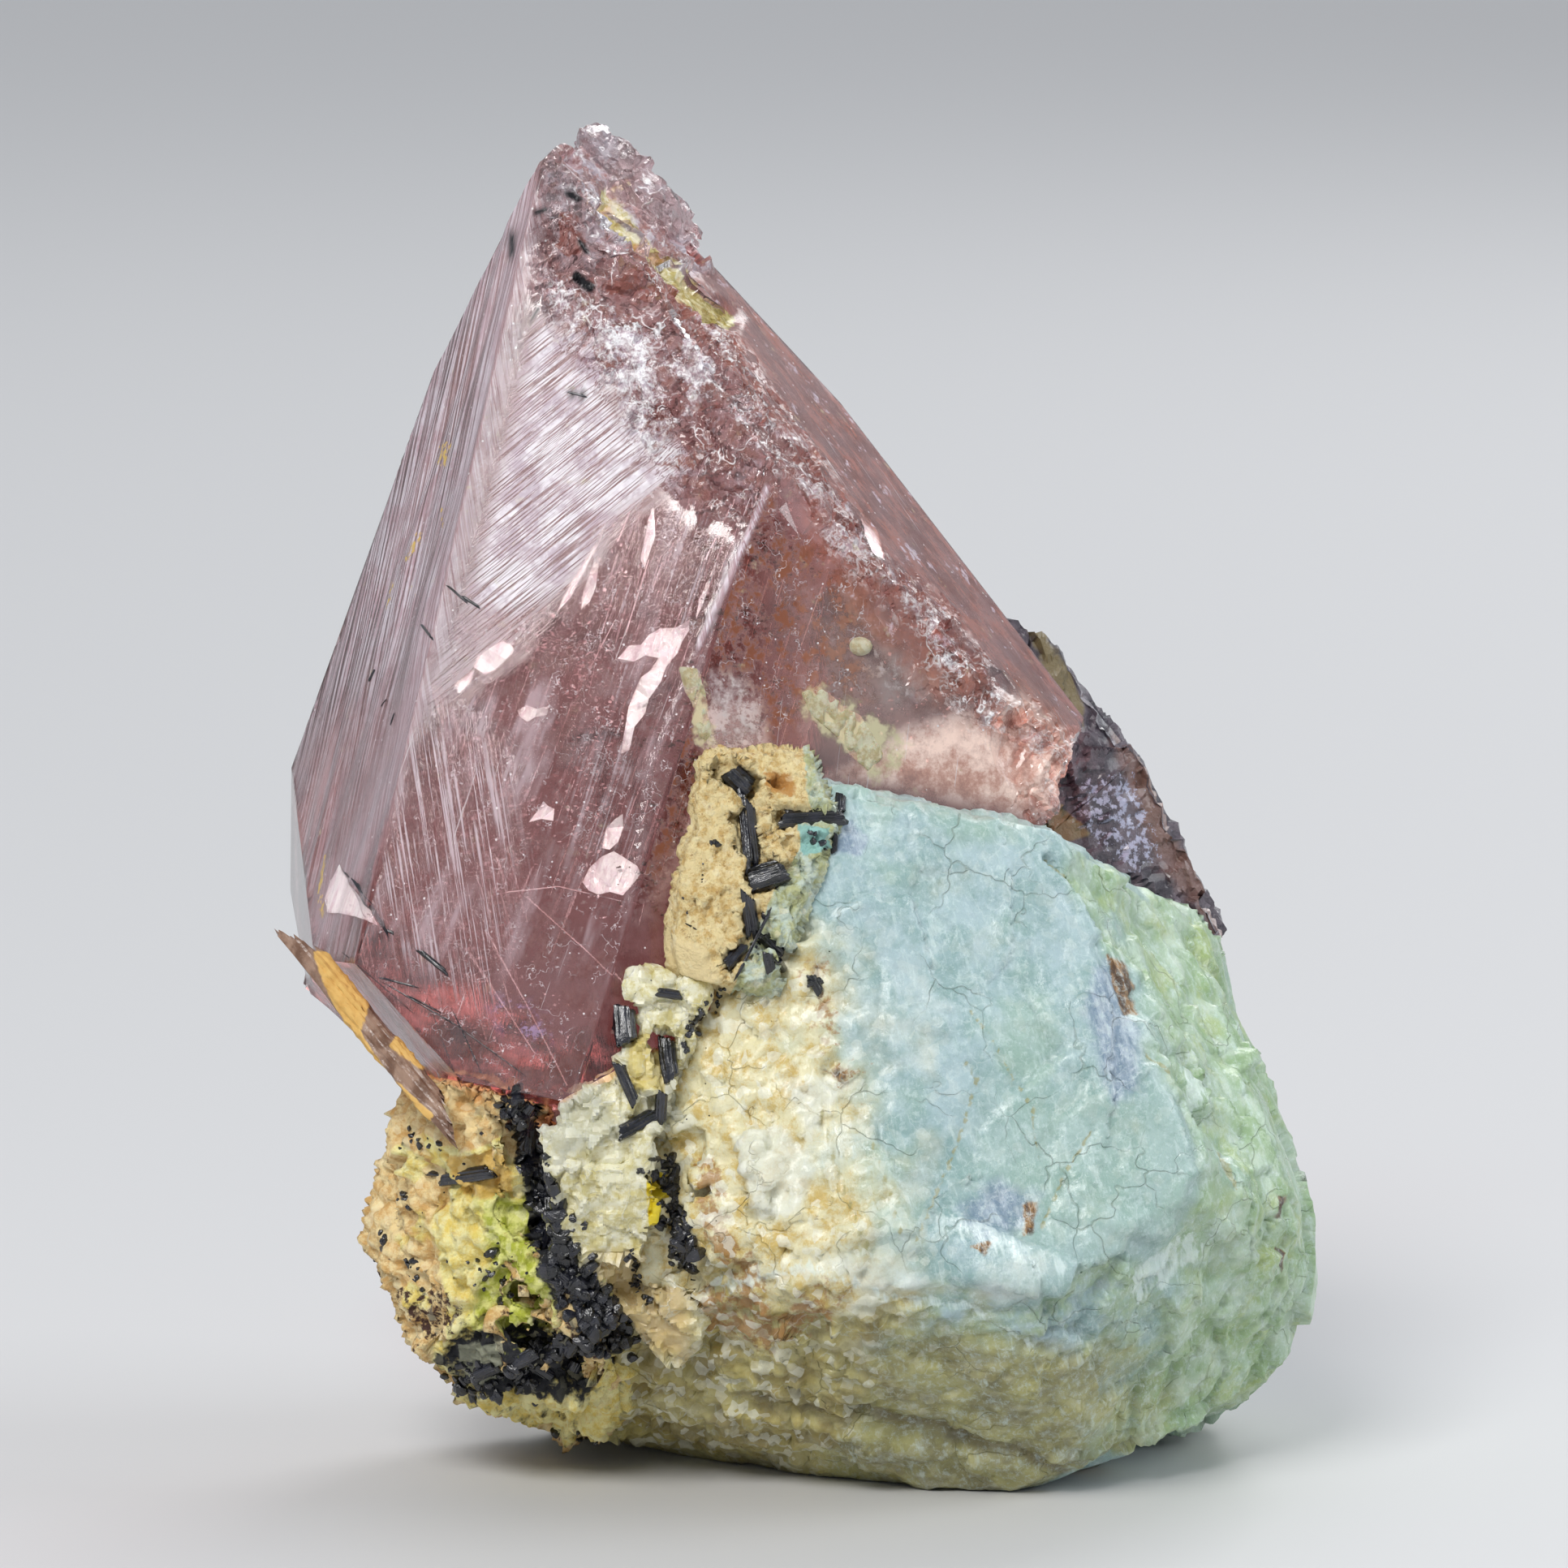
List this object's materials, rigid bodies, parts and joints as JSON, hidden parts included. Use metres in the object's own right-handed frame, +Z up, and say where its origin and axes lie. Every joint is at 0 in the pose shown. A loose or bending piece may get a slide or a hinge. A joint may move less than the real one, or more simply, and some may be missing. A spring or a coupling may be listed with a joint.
{
  "type": "morganite crystal",
  "caption": "Steep pink morganite crystal on pale green feldspar, with a smoky crystal behind it, black schorl prisms and ochre clay.",
  "frame": {"origin": "on the surface that the specimen stands on, under the middle of its bounding box", "axes": "+Z up; the display side with the pink crystal's broad faces looks towards -Y; +X to the right as seen from there"},
  "size_m": [0.0382, 0.0267, 0.0496],
  "materials": {
    "morganite": "clear, frosted and striated on the left",
    "smoky": "dark, nearly opaque, broken",
    "feldspar": "sugary and cleaved, satin",
    "albite": "waxy, slightly translucent",
    "clay": "crumbly, matt",
    "crust": "sandy, matt",
    "rust": "coated, matt",
    "schorl": "glossy, striated along its length",
    "film": "waxy, thin"
  },
  "bodies": {
    "root": {"albite_plates": "albite", "coated_prism": "rust", "feldspar_rock": "feldspar", "morganite_crystal": "morganite", "ochre_clay": "clay", "ochre_crust": "crust", "pale_bead": "film", "pale_film_left": "film", "pale_film_right": "film", "schorl_bar": "schorl", "schorl_barrel": "schorl", "schorl_block": "schorl", "schorl_chip": "schorl", "schorl_hub": "schorl", "schorl_level": "schorl", "schorl_lodged": "schorl", "schorl_lower": "schorl", "schorl_peg": "schorl", "schorl_post": "schorl", "schorl_seam_left": "schorl", "schorl_seam_right": "schorl", "schorl_speck": "schorl", "schorl_stub": "schorl", "schorl_upper": "schorl", "smoky_crystal": "smoky"}
  },
  "joints": []
}
